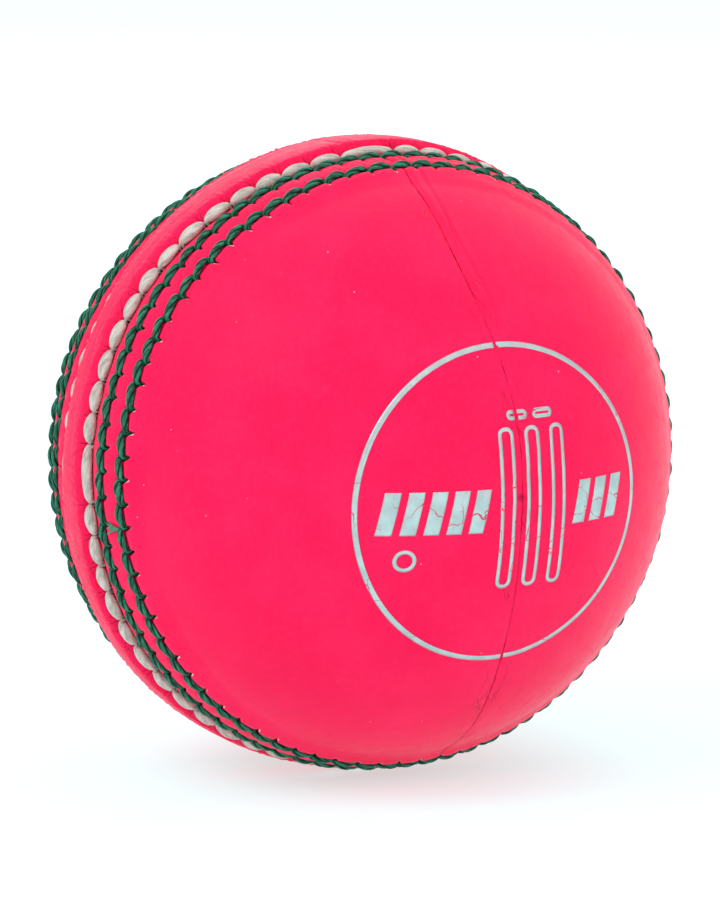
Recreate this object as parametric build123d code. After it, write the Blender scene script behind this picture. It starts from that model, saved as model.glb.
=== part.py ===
"""Four-piece leather cricket ball, as separate pieces, in millimetres.

The seam lies in the plane x = 0 and +X points out of the stamped pole. A quilted centre of cork and
worsted yarn sits in two leather cups. Each cup is two quarters sewn edge to edge from the inside, and
the two cups are drawn together by a saddle-stitched closing seam with two plain rows on either side.
"""

from build123d import *
from math import asin, cos, degrees, pi, radians, sin, sqrt, tan
import os

# ---- the ball ----
ball_radius = 35.5  # leather surface away from the seam
seam_prominence = 0.9  # how far the ridge stands above the leather
ridge_half_width = 3.7  # from the parting line to the ridge's foot
band_height = 0.3  # swell of the leather under the plain rows
band_margin = 1.6  # how far that swell runs past the outer row
lip_fillet = 0.35
cover_thickness = 3.6
lining_thickness = 0.8
inner_row_offset = 6.9  # from the seam plane, along X
outer_row_offset = 10.4

# ---- the quilt ----
winding_thickness = 1.7
wafer_thickness = 0.95
wafer_layers = 4
wafer_gap = 1.6  # between neighbouring wafers of one layer
wafer_stagger = (37, 23)  # turn of each layer against the one below, about X then Z

# ---- threads ----
thread_clearance = 0.05  # every thread in its groove or hole
row_stitches = 80
row_thread_radius = 0.45
row_stitch_slope = 55  # where a stitch dives past the middle of its wave, in degrees
row_thread_lift = 0.2  # middle of the thread above the leather at the top of a stitch
closing_stitches = 64
closing_thread_radius = 0.35
closing_thread_bend = 0.5
closing_cross_depth = 2.6  # below the ridge's foot, where the two passes cross under the parting line
pass_gap = 0.06  # between the two passes where they cross
quarter_stitches = 34
quarter_thread_radius = 0.3
quarter_thread_bend = 0.5
quarter_run_offset = 2.2  # from the quarter joint to the stitches beside it
quarter_seam_span = 140  # degrees of the joint that are sewn, centred on the pole
quarter_cross_height = 1.5  # of the leather's thickness that the crossings rise through

# ---- the stamp ----
foil_thickness = 0.06
stamp_turn = (3.9, 2.0)  # the stamp's centre off the pole, towards +Y and -Z, in degrees
ring_radius = 17.9
ring_width = 0.55
wicket_middle = 2.4  # along Y from the stamp's centre
stump_size = (1.9, 18.0)
stump_spacing = 3.3
bail_size = (2.6, 1.1)
bail_lift = 0.7
outline_width = 0.42  # of the stumps, the bails and the spot
bar_size = (1.7, 4.8)
bar_gap = 0.8
bar_slant = 12  # degrees off upright
bars_left = 5
bars_right = 3
bar_margin = 1.6  # from the outer stumps to the bars
spot_middle = (-12.4, -5.3)
spot_radius = 1.25

# ---- worked out ----
cover_inner_radius = ball_radius - cover_thickness
quilt_radius = cover_inner_radius - lining_thickness
layer_pitch = winding_thickness + wafer_thickness
nucleus_radius = quilt_radius - winding_thickness - wafer_layers * layer_pitch
ridge_radius = ball_radius + seam_prominence
band_radius = ball_radius + band_height
band_half_width = outer_row_offset + band_margin
closing_slot = closing_thread_radius + thread_clearance
row_slot = row_thread_radius + thread_clearance
quarter_slot = quarter_thread_radius + thread_clearance
closing_row_offset = ridge_half_width + closing_slot

os.makedirs("parts", exist_ok=True)


def save(name, shape):
    """Writes one node. A list of solids becomes one group."""
    group = shape if isinstance(shape, list) else [shape]
    solids = [solid for item in group for solid in item.solids()]
    node = solids[0] if len(solids) == 1 else Compound(solids)
    export_step(node, f"parts/{name}.step")


def off_axis(radius, x):
    """Distance from the X axis of a point at x on the sphere of that radius."""
    return sqrt(radius**2 - x**2)


def around_x(x, distance, angle):
    """The point at x, that far from the X axis. The angle runs from +Z towards +Y."""
    return Vector(x, distance * sin(radians(angle)), distance * cos(radians(angle)))


def shell(inner, outer):
    return Sphere(outer) - Sphere(inner)


# ---- quilt: nucleus, windings and wafers ----
def wafer_cutters(inner, outer):
    """Six pyramids out from the centre, one for each wafer of a layer, trimmed to its outer radius."""
    near, far = inner / 2, outer * 1.2
    slack = wafer_gap / 2 * sqrt(2)
    faces = [Plane.XY.offset(h) * Rectangle(2 * (h - slack), 2 * (h - slack)) for h in (near, far)]
    pyramid = loft(faces) & Sphere(outer)
    turns = [(0, 0), (90, 0), (180, 0), (270, 0), (0, 90), (0, -90)]
    return [Rot(about_x, about_y, 0) * pyramid for about_x, about_y in turns]


def make_quilt():
    save("cork_nucleus", Sphere(nucleus_radius))
    save("yarn_winding_1", shell(nucleus_radius, nucleus_radius + winding_thickness))
    for layer in range(1, wafer_layers + 1):
        inner = nucleus_radius + winding_thickness + (layer - 1) * layer_pitch
        outer = inner + wafer_thickness
        turn = Rot(wafer_stagger[0] * layer, 0, 0) * Rot(0, 0, wafer_stagger[1] * layer)
        cutters = wafer_cutters(inner, outer)
        save(f"cork_wafers_{layer}", [turn * (cutter - Sphere(inner)) for cutter in cutters])
        winding = shell(inner, outer + winding_thickness)
        for cutter in cutters:
            winding -= cutter
        save(f"yarn_winding_{layer + 1}", turn * winding)


# ---- cover: profile of one cup, drawn with X along the ball's axis and Y away from it ----
def ring_strip(outer, half_width):
    """The part of the cover's section out to a radius, from the seam plane to a half width."""
    ring = Circle(outer) - Circle(cover_inner_radius)
    return ring & (Pos(half_width / 2, outer / 2) * Rectangle(half_width, outer))


def row_wave(offset):
    """Wave of a plain row: its mean distance from the axis, and the rise and fall of its middle line."""
    step = pi / row_stitches / 2  # a quarter of one stitch, as an angle about the axis
    slope = radians(row_stitch_slope)
    top = off_axis(band_radius, offset) + row_thread_lift
    mean = top / (cos(step) + sin(step) * tan((slope + step) / 2))
    rise = mean * sin(step) * tan((slope + step) / 2)
    fall = mean * sin(step) * tan((slope - step) / 2)
    return mean, rise, fall


def row_groove(offset):
    """The channel that a plain row's thread dips into."""
    mean, rise, fall = row_wave(offset)
    bottom = mean * cos(pi / row_stitches / 2) - fall
    depth = ridge_radius - bottom
    slot = Pos(offset, bottom + depth / 2) * Rectangle(2 * row_slot, depth)
    return slot + Pos(offset, bottom) * Circle(row_slot)


def closing_run():
    """Distance from the axis of the closing thread's middle where it runs along the ridge's foot."""
    return off_axis(band_radius, closing_row_offset) - closing_thread_radius / 2


def cup_profile():
    section = ring_strip(ball_radius, ball_radius)
    section += ring_strip(band_radius, band_half_width)
    section += ring_strip(ridge_radius, ridge_half_width)
    lip_corners = [v for v in section.vertices() if abs(Vector(v).length - ridge_radius) < 1e-3]
    section = fillet(lip_corners, lip_fillet)
    for offset in (inner_row_offset, outer_row_offset):
        section -= row_groove(offset)
    run = closing_run()
    section -= Pos(closing_row_offset, run + closing_slot) * Rectangle(2 * closing_slot, 2 * closing_slot)
    section -= Pos(closing_row_offset, run) * Circle(closing_slot)
    return section


# ---- saddle stitches, for the closing seam and for the quarter joints ----
def saddle_points(angles, gap, offset, run, cross, first_side=1):
    """Corners of one thread about the X axis. It runs beside the joint between two holes and crosses
    under it at each hole. The gap is the angle that it keeps from a hole's middle on the surface."""
    points = []
    side = first_side
    for angle in angles:
        points.append(around_x(side * offset, run, angle - gap))
        points.append(around_x(0, cross, angle))
        side = -side
        points.append(around_x(side * offset, run, angle + gap))
    return points


def sewn(points, radius, bend, close):
    path = FilletPolyline(*points, radius=bend, close=close)
    start = path.edges()[0]
    section = Plane(origin=start @ 0, z_dir=start % 0) * Circle(radius)
    return sweep(section, path=Wire(path.edges()))


def hole_radius(thread_radius, bend, spread=0):
    """Room for a thread that rounds the corner into its hole, and for the spread between two passes."""
    return spread + bend * (1 - sqrt(0.5)) + thread_radius + thread_clearance


def holes(angles, side, offset, run, cross, radius):
    """One slanting hole at each angle, from the stitches' groove to the joint's plane."""
    start, end = Vector(side * offset, 0, run), Vector(0, 0, cross)
    along = (end - start).normalized()
    hole = Solid.extrude(
        Plane(origin=start - along * radius, z_dir=along) * Face(Wire.make_circle(radius)),
        along * ((end - start).length + 2 * radius),
    )
    return [Rot(-angle, 0, 0) * hole for angle in angles]


# ---- the closing seam ----
closing_angles = [(stitch + 0.5) * 360 / closing_stitches for stitch in range(closing_stitches)]
closing_cross = band_radius - closing_cross_depth
# the passes are nearest each other halfway down the hole, where they are 1/sqrt(2) of their spread apart
closing_spread = (closing_thread_radius + pass_gap / 2) * sqrt(2)


def closing_thread(first_side, cross):
    gap = degrees(asin(closing_spread / closing_run()))
    points = saddle_points(closing_angles, gap, closing_row_offset, closing_run(), cross, first_side)
    return sewn(points, closing_thread_radius, closing_thread_bend, close=True)


def make_closing_seam():
    save("closing_thread_first_pass", closing_thread(1, closing_cross + closing_spread))
    save("closing_thread_second_pass", closing_thread(-1, closing_cross - closing_spread))


# ---- the plain rows ----
def row_thread(offset):
    """A thread that rises over the leather and dips into its channel once for each stitch."""
    mean, rise, fall = row_wave(offset)
    half_pitch = 180 / row_stitches
    middle = mean * cos(radians(half_pitch / 2))
    arcs = []
    for half in range(2 * row_stitches):
        start = half * half_pitch
        swing = rise if half % 2 == 0 else -fall
        arcs.append(
            ThreePointArc(
                around_x(offset, mean, start),
                around_x(offset, middle + swing, start + half_pitch / 2),
                around_x(offset, mean, start + half_pitch),
            )
        )
    section = Plane(origin=arcs[0] @ 0, z_dir=arcs[0] % 0) * Circle(row_thread_radius)
    return sweep(section, path=Wire([arc.edge() for arc in arcs]))


# ---- the quarter joint, in the plane y = 0 of a cup whose pole is +X ----
quarter_angles = [
    ((stitch + 0.5) / quarter_stitches - 0.5) * quarter_seam_span for stitch in range(quarter_stitches)
]
quarter_run = off_axis(cover_inner_radius + quarter_thread_radius, quarter_run_offset)
quarter_cross = cover_inner_radius + quarter_cross_height
# drawn about the X axis, then turned so that the joint's normal is Y and the middle of the run is +X
onto_pole = Plane(origin=(0, 0, 0), x_dir=(0, 1, 0), z_dir=(1, 0, 0))


def quarter_thread():
    points = saddle_points(quarter_angles, 0, quarter_run_offset, quarter_run, quarter_cross)
    return onto_pole * sewn(points, quarter_thread_radius, quarter_thread_bend, close=False)


def quarter_groove():
    """The channel inside the leather that the stitches on the +Y side of the joint lie in."""
    slot = Pos(quarter_run_offset, quarter_run - quarter_slot) * Rectangle(2 * quarter_slot, 2 * quarter_slot)
    slot += Pos(quarter_run_offset, quarter_run) * Circle(quarter_slot)
    return onto_pole * (Rot(-90 - quarter_seam_span / 2, 0, 0) * revolve(slot, Axis.X, quarter_seam_span))


# ---- cups ----
def make_quarter():
    """The quarter on the +Y side of a cup whose pole is +X. All four are this shape."""
    quarter = (Rot(-90, 0, 0) * revolve(cup_profile(), Axis.X, 180)) - quarter_groove()
    wide = hole_radius(closing_thread_radius, closing_thread_bend, closing_spread)
    seam_angles = [angle for angle in closing_angles if angle < 180]
    seam_holes = holes(seam_angles, 1, closing_row_offset, closing_run(), closing_cross, wide)
    narrow = hole_radius(quarter_thread_radius, quarter_thread_bend)
    joint_holes = holes(quarter_angles, 1, quarter_run_offset, quarter_run, quarter_cross, narrow)
    return quarter.cut(*seam_holes).cut(*[onto_pole * hole for hole in joint_holes])


def make_cups():
    quarter, joint_thread = make_quarter(), quarter_thread()
    left = Rot(-90, 0, 0) * Rot(0, 0, 180)  # the left cup's joint is turned square to the right cup's
    save("right_cup_back_quarter", quarter)
    save("right_cup_front_quarter", Rot(180, 0, 0) * quarter)
    save("left_cup_upper_quarter", left * quarter)
    save("left_cup_lower_quarter", Rot(180, 0, 0) * left * quarter)
    save("right_cup_quarter_thread", joint_thread)
    save("left_cup_quarter_thread", left * joint_thread)
    room = 2 * ball_radius
    for name, side in (("right_cup", 1), ("left_cup", -1)):
        hollow = shell(quilt_radius, cover_inner_radius)
        save(f"{name}_lining", hollow & (Pos(side * room / 2, 0, 0) * Box(room, room, room)))
        save(f"{name}_inner_row_thread", row_thread(side * inner_row_offset))
        save(f"{name}_outer_row_thread", row_thread(side * outer_row_offset))


# ---- the stamp: foil pressed on round the pole of the right cup ----
def stamp_ring():
    """The ring of foil round the X axis."""
    film = Circle(ball_radius + foil_thickness) - Circle(ball_radius)
    strip = Pos(ball_radius, ring_radius - ring_width / 2) * Rectangle(2 * ball_radius, ring_width)
    return revolve(film & strip, Axis.X)


def outline(shape):
    """The rim of a flat shape."""
    return shape - offset(shape, -outline_width)


def stamp_artwork():
    """A wicket in outline, slanting bars on either side and a spot, drawn flat and seen from outside."""
    art = [Pos(*spot_middle) * outline(Circle(spot_radius))]
    for column in (-1, 0, 1):
        stump = RectangleRounded(*stump_size, stump_size[0] * 0.45)
        art.append(Pos(wicket_middle + column * stump_spacing, 0) * outline(stump))
    for side in (-1, 1):
        level = stump_size[1] / 2 + bail_lift + bail_size[1] / 2
        bail = RectangleRounded(*bail_size, bail_size[1] * 0.45)
        art.append(Pos(wicket_middle + side * stump_spacing / 2, level) * outline(bail))
        first = stump_spacing + stump_size[0] / 2 + bar_margin + bar_size[0] / 2
        for bar in range(bars_left if side < 0 else bars_right):
            middle = wicket_middle + side * (first + bar * (bar_size[0] + bar_gap))
            lean = bar_size[1] / 2 * tan(radians(bar_slant))
            half_width, half_height = bar_size[0] / 2, bar_size[1] / 2
            corners = [
                (middle - half_width - lean, -half_height),
                (middle + half_width - lean, -half_height),
                (middle + half_width + lean, half_height),
                (middle - half_width + lean, half_height),
            ]
            art.append(make_face(Polyline(*corners, close=True)))
    return art


def make_stamp():
    # the sphere's own poles are kept off the stamp
    film = Rot(0, 0, 180) * Sphere(ball_radius + foil_thickness) - Rot(0, 0, 180) * Sphere(ball_radius)
    place = Rot(0, stamp_turn[1], stamp_turn[0])
    pieces = [place * stamp_ring()]
    pieces += [film & (place * onto_pole * extrude(shape, 2 * ball_radius)) for shape in stamp_artwork()]
    save("foil_stamp", pieces)


make_quilt()
make_cups()
make_closing_seam()
make_stamp()
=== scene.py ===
"""The looks of a pink four-piece cricket ball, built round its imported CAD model.

Sizes in the tables below are in millimetres and angles in degrees, and each mesh is scaled to metres as
it is made. An angle round the seam starts at the top of the ball and grows towards +Y.
"""

import bmesh
import bpy
import numpy as np
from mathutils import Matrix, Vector


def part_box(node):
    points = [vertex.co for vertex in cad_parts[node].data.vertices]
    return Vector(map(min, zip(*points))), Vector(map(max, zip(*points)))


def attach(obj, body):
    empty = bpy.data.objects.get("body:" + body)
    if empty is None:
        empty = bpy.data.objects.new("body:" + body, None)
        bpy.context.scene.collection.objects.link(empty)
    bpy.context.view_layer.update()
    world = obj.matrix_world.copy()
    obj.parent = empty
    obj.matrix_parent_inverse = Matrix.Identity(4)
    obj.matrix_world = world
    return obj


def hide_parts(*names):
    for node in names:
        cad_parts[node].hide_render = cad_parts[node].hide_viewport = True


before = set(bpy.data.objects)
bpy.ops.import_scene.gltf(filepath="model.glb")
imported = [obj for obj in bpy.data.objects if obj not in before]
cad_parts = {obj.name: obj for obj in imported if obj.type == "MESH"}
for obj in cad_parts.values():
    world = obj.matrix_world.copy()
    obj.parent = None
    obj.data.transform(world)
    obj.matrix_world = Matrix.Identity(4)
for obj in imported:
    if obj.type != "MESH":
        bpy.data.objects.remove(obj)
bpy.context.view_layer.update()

MM = 0.001


# ---- sizes read off the CAD ----
def node_reach(name, axis, end=1):
    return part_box(name)[end][axis] / MM


def row_offset(name):
    return abs(node_reach(name, 0, 0) + node_reach(name, 0, 1)) / 2


BALL = node_reach("left_cup_upper_quarter", 0, 0) * -1
RIDGE = node_reach("right_cup_back_quarter", 1)
LEATHER_INSIDE = node_reach("left_cup_lining", 1)
INNER_ROW = row_offset("right_cup_inner_row_thread")
OUTER_ROW = row_offset("right_cup_outer_row_thread")

# ---- sizes of the work itself ----
BAND_HEIGHT = 0.4
BAND_EDGE = (11.4, 14.2)
CLOSING_ROW = 3.35
CLOSING_COUNT = 64
ROW_COUNT = 80
SKIPPED_HOLES = (-88.1, -3.7)  # two stitches here are twice as long as the rest
LEFT_CUP_LAG = 1.9  # how far the left cup's stitches start after the right cup's, in degrees
ROW_THREAD_RADIUS = 0.5
ROW_LEAN = (0.14, -0.46)  # across the row, where a stitch comes up and where it goes down
CLOSING_HALF_WIDTH = 0.8
PARTING_SHIFT = -2.3
LOOSE_AT = -98.0  # where the right outer row's thread was cut off
LOOSE_FIBRES = 15


# ---- small sums ----
def rng(seed):
    return np.random.default_rng(seed)


def wrap(angle):
    return (np.asarray(angle) + 180) % 360 - 180


def smooth(low, high, value):
    t = np.clip((value - low) / (high - low), 0, 1)
    return t * t * (3 - 2 * t)


def swell(value, middle, reach):
    return np.exp(-(((value - middle) / reach) ** 2))


def hashed(cell, seed):
    """A repeatable number from -1 to 1 for each cell of a lattice."""
    x, y, z = cell[..., 0], cell[..., 1], cell[..., 2]
    n = (x * 73856093) ^ (y * 19349663) ^ (z * 83492791) ^ (seed * 2654435761)
    n = (n ^ (n >> 13)) * 1274126177 & 0x7FFFFFFF
    n = (n ^ (n >> 16)) * 668265263 & 0x7FFFFFFF
    return n / 0x3FFFFFFF - 1


def unevenness(points, size, seed):
    """Smooth lumps of about that size, from -1 to 1."""
    p = np.asarray(points, float) / size
    cell = np.floor(p).astype(np.int64)
    part = p - cell
    part = part * part * (3 - 2 * part)
    total = 0
    for corner in np.ndindex(2, 2, 2):
        weight = np.prod(np.where(corner, part, 1 - part), axis=-1)
        total = total + weight * hashed(cell + np.array(corner), seed)
    return total


# ---- where the holes are ----
def hand_spaced(count, start, drift, middle, jitter, seed):
    """Angles of the holes of a hand-sewn row: nearly even, but drifting wider about one place."""
    even = start + np.arange(count) * 360 / count
    holes = even + drift * np.sin(np.radians(even - middle)) + rng(seed).normal(0, jitter, count)
    return np.sort(wrap(holes))


def between(holes, angle):
    """The hole each angle comes after, how far it is on to the next from 0 to 1, and that gap."""
    ring = np.append(holes, holes[0] + 360)
    spot = (angle - holes[0]) % 360 + holes[0]
    index = np.clip(np.searchsorted(ring, spot, side="right") - 1, 0, len(holes) - 1)
    gap = ring[index + 1] - ring[index]
    return index, (spot - ring[index]) / gap, gap


def closing_holes():
    """Angles of the closing row's holes, without the two that were skipped."""
    pitch = 360 / CLOSING_COUNT
    even = wrap(SKIPPED_HOLES[0] + np.arange(CLOSING_COUNT) * pitch)
    kept = np.array([a for a in even if min(abs(wrap(a - s)) for s in SKIPPED_HOLES) > pitch / 2.25])
    holes = kept + 1.5 * np.sin(np.radians(kept + 47)) + rng(5).normal(0, 0.22, len(kept))
    return np.sort(wrap(holes))


CLOSING_HOLES = closing_holes()
ROWS = {}
for side in (1, -1):
    for place, offset, start in (("inner", INNER_ROW, -51.6), ("outer", OUTER_ROW, -52.4)):
        seed = 20 + side * 3 + (place == "outer")
        start += 0 if side > 0 else LEFT_CUP_LAG
        ROWS[side, place] = {
            "line": offset,
            "side": side,
            "holes": hand_spaced(ROW_COUNT, start, 0.73, -55, 0.16, seed),
            "slit": rng(seed + 40).uniform(1.0, 1.35, ROW_COUNT),
            "lean": rng(seed + 50).normal(0, 0.06, ROW_COUNT),
            "frayed": rng(seed + 70).uniform(0.35, 1.0, ROW_COUNT),
            "plump": rng(seed + 60).normal(1, 0.05, ROW_COUNT),
            "seed": seed,
        }
PLUMP = {side: rng(70 + side).normal(1, 0.07, len(CLOSING_HOLES)) for side in (1, -1)}
PUCKER = {side: rng(80 + side).uniform(0, 6.28, len(CLOSING_HOLES)) for side in (1, -1)}


def row_line(row, angle):
    """How far a plain row runs from the seam plane, with the sewer's wander."""
    wander = 0.1 * np.sin(np.radians(angle * 3 + row["seed"] * 40)) + 0.06 * np.sin(np.radians(angle * 7))
    drift = -1.2 * smooth(-2, 20, wrap(angle)) * (1 - smooth(50, 90, wrap(angle))) if row["side"] > 0 else 0
    return row["line"] + wander + drift


def closing_line(angle):
    """How far the closing row's holes are from the seam plane. They crowd the plain rows at the top."""
    wander = 0.1 * np.sin(np.radians(angle * 4 + 60))
    crowded = 1.65 * swell(wrap(angle + 16), 0, 25) + 0.5 * swell(wrap(angle + 99), 0, 9)
    return CLOSING_ROW + wander + crowded + 0.3 * swell(wrap(angle + 137), 0, 24)


def proud(angle):
    """How much further the ridge stands out where the two cups were drawn together hardest."""
    near_top = 0.35 * swell(wrap(angle + 28), 0, 38) + 0.45 * swell(wrap(angle - 6), 0, 22)
    return near_top + 0.42 * swell(wrap(angle + 122), 0, 27)


def stitch_half_width(side, index, along, gap):
    """Half the width of a closing stitch: full in the middle and pinched at its holes."""
    full = np.clip(np.sin(np.pi * np.clip(along, 0, 1)), 0, 1)
    longer = gap > 1.5 * 360 / CLOSING_COUNT
    shape = np.where(longer, full**0.32 * (1 - 0.1 * full), full**0.55)
    return CLOSING_HALF_WIDTH * PLUMP[side][index] * shape


# ---- the shape of the cover ----
def parting_line(angle):
    """Where the two cups meet on the ridge, along X."""
    return PARTING_SHIFT + 0.16 * np.sin(np.radians(angle * 5)) + 0.1 * np.sin(np.radians(angle * 17 + 50))


def closing_relief(x, angle, side):
    """The ridge, the beds of the closing stitches and the puckers that run into their holes."""
    index, along, gap = between(CLOSING_HOLES, angle)
    line = closing_line(angle)
    half = stitch_half_width(side, index, along, gap)
    near = np.minimum(along, 1 - along) * np.radians(gap) * BALL
    off = x - line
    foot = line - half * 0.95 - 0.1
    crown = RIDGE - BALL - BAND_HEIGHT + proud(angle)
    ridge = crown * (1 - smooth(foot - 0.95, foot + 0.12, x)) * (1 - 0.05 * (x / line) ** 2)
    valley = -0.5 * swell(off, 0.2, 1.1)
    bed = valley - 0.2 * np.exp(-((off / (half + 0.2)) ** 4))
    hole = -0.85 * np.exp(-((off / 0.42) ** 2) - (near / 0.36) ** 2)
    nearest = np.where(along < 0.5, index, (index + 1) % len(CLOSING_HOLES))
    spoke = np.arctan2(np.where(along < 0.5, near, -near), -off)
    reach = np.hypot(off, near)
    on_ridge = 1 - smooth(-0.7, 0.1, off)
    turned = PUCKER[side][nearest]
    wave = np.cos(spoke * 11 + turned)
    pucker = 0.14 * swell(reach, 0.95, 0.7) * wave * on_ridge
    pucker = pucker + 0.05 * swell(reach, 1.7, 0.9) * np.cos(spoke * 17 + 2 * turned) * on_ridge
    folds = np.clip(-wave - 0.25, 0, 1) * swell(reach, 1.0, 0.75) * on_ridge
    # painted shade: how dark the hole and the folds of its puckers are painted
    crease_shade = np.clip(-hole / 0.5, 0, 1) + 0.85 * folds
    return ridge + bed + hole + pucker, crease_shade


def row_relief(x, angle, row):
    """One plain row: the thread's bed, the slits of the awl and the saw-tooth lips between them."""
    index, along, gap = between(row["holes"], angle)
    off = x - row_line(row, angle)
    bed_at = ROW_LEAN[0] + (ROW_LEAN[1] - ROW_LEAN[0]) * along
    bed = -0.34 * np.exp(-(((off - bed_at) / 0.46) ** 4))
    step = np.radians(gap) * BALL
    nearest = np.where(along < 0.5, index, (index + 1) % ROW_COUNT)
    length = row["slit"][nearest]
    from_slit = np.where(along < 0.5, along, along - 1) * step - 0.16 * np.clip(off, 0, 2) ** 2
    width = 0.07 + 0.3 * np.clip(1 - (off + 0.1) / (length + 0.1), 0, 1)
    slit_mask = smooth(-0.75, -0.4, off) * (1 - smooth(length - 0.15, length + 0.08, off))
    slit = -0.8 * np.exp(-((from_slit / width) ** 2)) * slit_mask
    lip_across = smooth(0.3, 0.75, off) * (1 - smooth(0.95, 2.3, off))
    tooth = 0.5 + (along - 0.5) * (1 - smooth(0.85, 1.3, off))
    lip = 0.26 * lip_across * (0.2 + 0.5 * tooth + 0.3 * np.sin(np.pi * along))
    near_side = 0.07 * swell(off, -1.15, 0.5) * np.sin(np.pi * along)
    # painted shade inside the awl's slits
    crease_shade = np.clip(-slit / 0.35, 0, 1)
    edge = smooth(length - 0.95, length - 0.35, off) * (1 - smooth(length + 0.08, length + 0.22, off))
    tip = np.maximum(swell(off, length, 0.19), 0.8 * edge) * swell(from_slit, -0.17, 0.14)
    tip = tip * row["frayed"][nearest]
    return bed + slit + lip + near_side, crease_shade, tip


# angle, lean in degrees for each millimetre across, and depth
RIDGE_FOLDS = (
    (-86.2, 0.5, 0.7), (-88.1, -0.3, 1), (-89.4, 0.6, 0.8), (-91.0, -0.7, 1), (-92.6, 0.4, 0.6),
)


def ridge_creases(x, angle, side):
    """The short folds across the ridge beside the long closing stitches."""
    fold = 0
    if side > 0:
        for at, lean, deep in RIDGE_FOLDS:
            gap = wrap(angle - at - lean * (x - 1.5)) * np.radians(1) * BALL
            fold = fold + deep * swell(gap + 0.12 * np.sin(x * 5 + at), 0, 0.11)
        fold = fold * smooth(0.0, 1.0, x) * (1 - smooth(3.2, 4.0, x))
    return -0.13 * np.clip(fold, 0, 1.2)


def cover_relief(along_x, angle):
    """How far the leather stands off the plain ball, where shade is painted into its hollows and joint lines,
    and how raw.
    """
    side = np.where(along_x >= 0, 1, -1)
    x = np.abs(along_x)
    turn = np.radians(angle)
    points = np.stack([along_x, BALL * np.sin(turn), BALL * np.cos(turn)], -1)
    height = BAND_HEIGHT * (1 - smooth(*BAND_EDGE, x))
    crease_shade = np.zeros_like(height)
    raw = np.zeros_like(height)
    for one in (1, -1):
        here = (side == one) & (x < 16)
        if not here.any():
            continue
        closing, closing_crease_shade = closing_relief(x[here], angle[here], one)
        total = closing + ridge_creases(x[here], angle[here], one)
        marks, rawness = closing_crease_shade, 0
        for place in ("inner", "outer"):
            relief, row_crease_shade, tip = row_relief(x[here], angle[here], ROWS[one, place])
            total = total + relief
            marks = np.maximum(marks, row_crease_shade)
            rawness = rawness + tip * (1 if place == "outer" else 0.55)
        strip = swell(x[here], (INNER_ROW + OUTER_ROW) / 2 + 0.1, 0.75) * 0.1
        height[here] += total + strip
        crease_shade[here] = marks
        raw[here] = rawness
    from_parting = along_x - parting_line(angle)
    broken = 0.55 + 0.45 * unevenness(points, 2.2, 11)
    groove = swell(from_parting, 0, 0.12) * np.clip(1.6 * broken - 0.45, 0.05, 1)
    height -= 0.2 * groove + 0.03 * swell(from_parting, 0, 0.6)
    # the same mark darkens the broken line of the parting groove
    crease_shade = np.maximum(crease_shade, groove * 0.9)
    on_ridge = 1 - smooth(3.0, 4.2, x)
    stretched = np.stack([along_x * 5.5, points[:, 1], points[:, 2]], -1)
    height += 0.022 * on_ridge * unevenness(stretched, 3.2, 12)
    height += 0.05 * unevenness(points, 9.0, 13) + 0.014 * unevenness(points, 2.6, 14)
    return height, np.clip(crease_shade, 0, 1), np.clip(raw, 0, 1)


# ---- the joints between the quarters ----
def joint_line(side, s):
    """How far a quarter joint strays from its plane, along the arc from its pole. The far ends lie flat."""
    if side > 0:
        return 3.3 * (1 - smooth(4, 32, s)) + 1.1 * swell(s, -38, 13) - 4.6 * smooth(45, 55.5, s)
    return 0.7 * np.sin(s / 9) + 0.3 * np.sin(s / 3.7)


def joint_relief(across, s, side):
    """The butt joint: a sharp crease in a shallow hollow, with a rolled lip at one side near the top."""
    points = np.stack([across * 0 + 3 * side, s, s * 0], -1)
    deep = 0.75 + 0.25 * unevenness(points, 4.0, 17)
    upper = smooth(16, 30, s) * (1 - smooth(52, 56, s)) if side > 0 else 0.3
    height = -(0.08 + 0.12 * upper) * deep * swell(across, 0, 0.12) - 0.05 * swell(across, 0, 0.8)
    # a rolled lip, a second crease and a third faint one
    beside = across - 1.5 - 0.25 * np.sin(s / 3)
    faint = beside - 1.3 * np.cos(s / 14)
    height = height + 0.09 * upper * swell(across, 0.75, 0.45) - 0.13 * upper * swell(beside, 0, 0.17)
    height = height + 0.05 * upper * swell(beside, 0.45, 0.3) - 0.06 * upper * swell(faint, 0, 0.25)
    broken = np.clip(0.5 + 0.9 * unevenness(points + 9, 2.6, 18), 0, 1)
    # painted shade in the second crease, and the dark line of the joint itself
    crease_shade = 0.42 * upper * broken * swell(beside, 0, 0.1)
    crease_shade = crease_shade + 0.5 * upper * np.clip(broken - 0.3, 0, 1) * swell(across, 0, 0.13)
    return height, crease_shade


CUP_TURNS = {1: np.eye(3), -1: np.array([[-1.0, 0, 0], [0, 0, 1], [0, 1, 0]])}


def on_cover(directions, side):
    """Puts directions from the ball's centre on the leather. Gives points and what the leather needs."""
    turn = CUP_TURNS[side]
    world = directions / np.linalg.norm(directions, axis=1, keepdims=True)
    local = world @ turn
    s = BALL * np.arctan2(local[:, 2], local[:, 0])
    stray = joint_line(side, s)
    across = local[:, 1] * BALL - stray / np.sqrt(1 + (stray / BALL) ** 2)
    angle = np.degrees(np.arctan2(world[:, 1], world[:, 2]))
    height, crease_shade, raw = cover_relief(world[:, 0] * BALL, angle)
    joint_height, joint_crease_shade = joint_relief(across, s, side)
    height = height + joint_height
    crease_shade = np.maximum(crease_shade, joint_crease_shade)
    return world * (BALL + height)[:, None], {"crease_shade": crease_shade, "raw": raw, "joint": across}


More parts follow.
